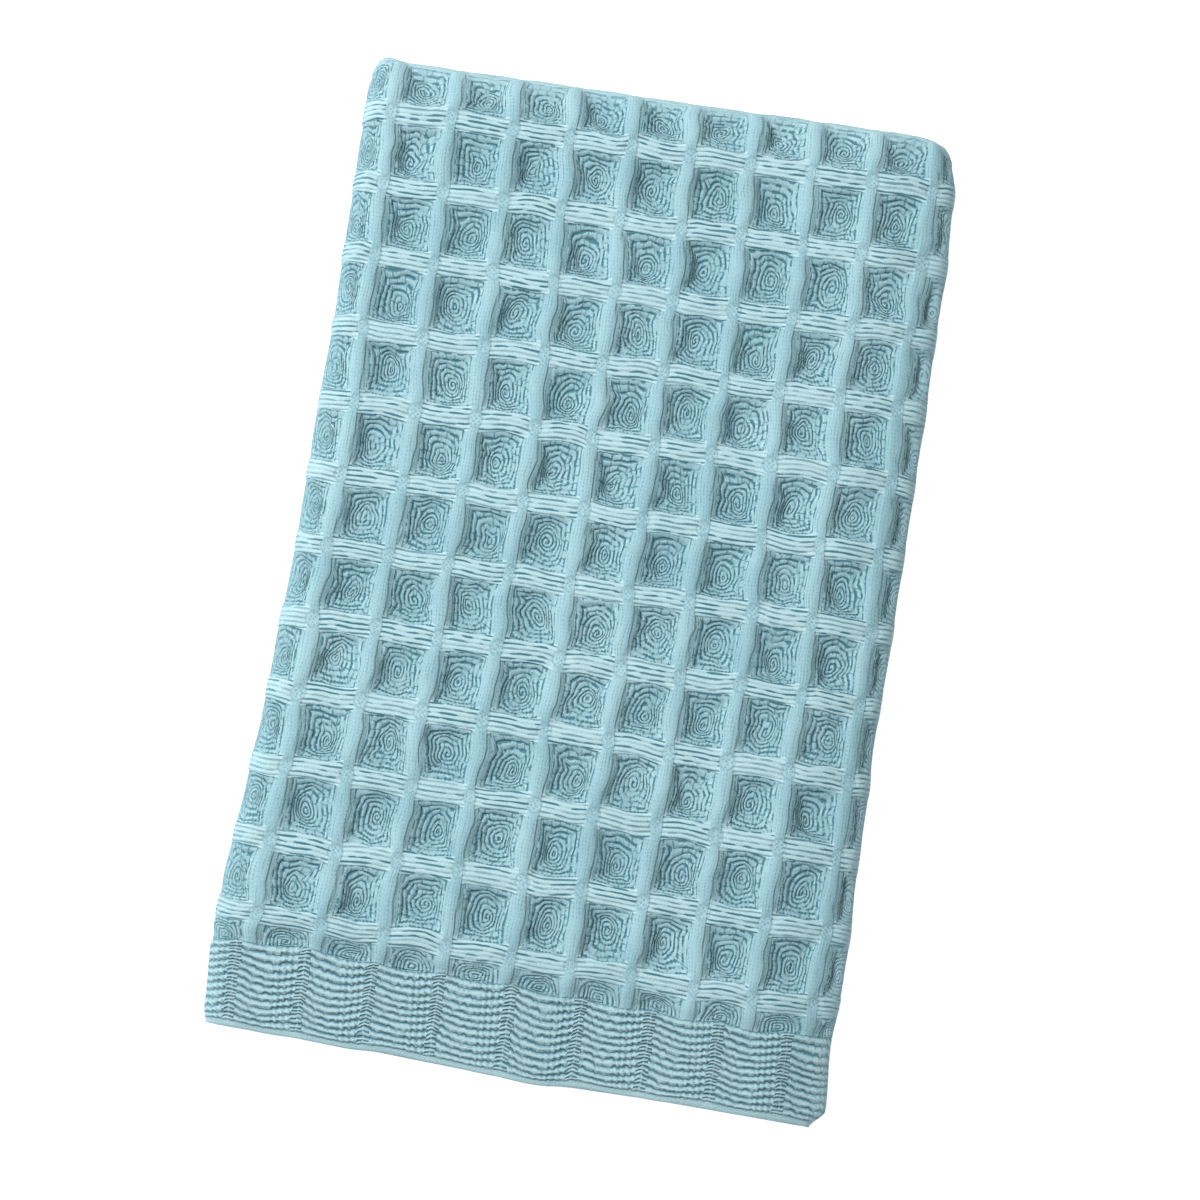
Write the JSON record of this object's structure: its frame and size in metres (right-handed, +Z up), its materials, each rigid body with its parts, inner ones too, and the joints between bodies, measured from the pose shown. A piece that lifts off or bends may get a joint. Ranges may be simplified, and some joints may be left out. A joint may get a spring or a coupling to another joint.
{
  "type": "waffle washcloth",
  "caption": "Cotton waffle-weave washcloth with plain woven hems, folded in thirds and then in half, lying flat with a fold on three sides and the hems at the fourth.",
  "frame": {"origin": "middle of the footprint, on the surface that the folded cloth rests on", "axes": "+Y from the hems towards the top fold, +X across the folded cloth, +Z up"},
  "size_m": [0.1032, 0.1655, 0.0166],
  "materials": {
    "cloth": "matt soft cotton in dusty aqua, raised woven ridges and sunk square pits"
  },
  "bodies": {
    "root": {"cloth": "cloth"}
  },
  "joints": []
}
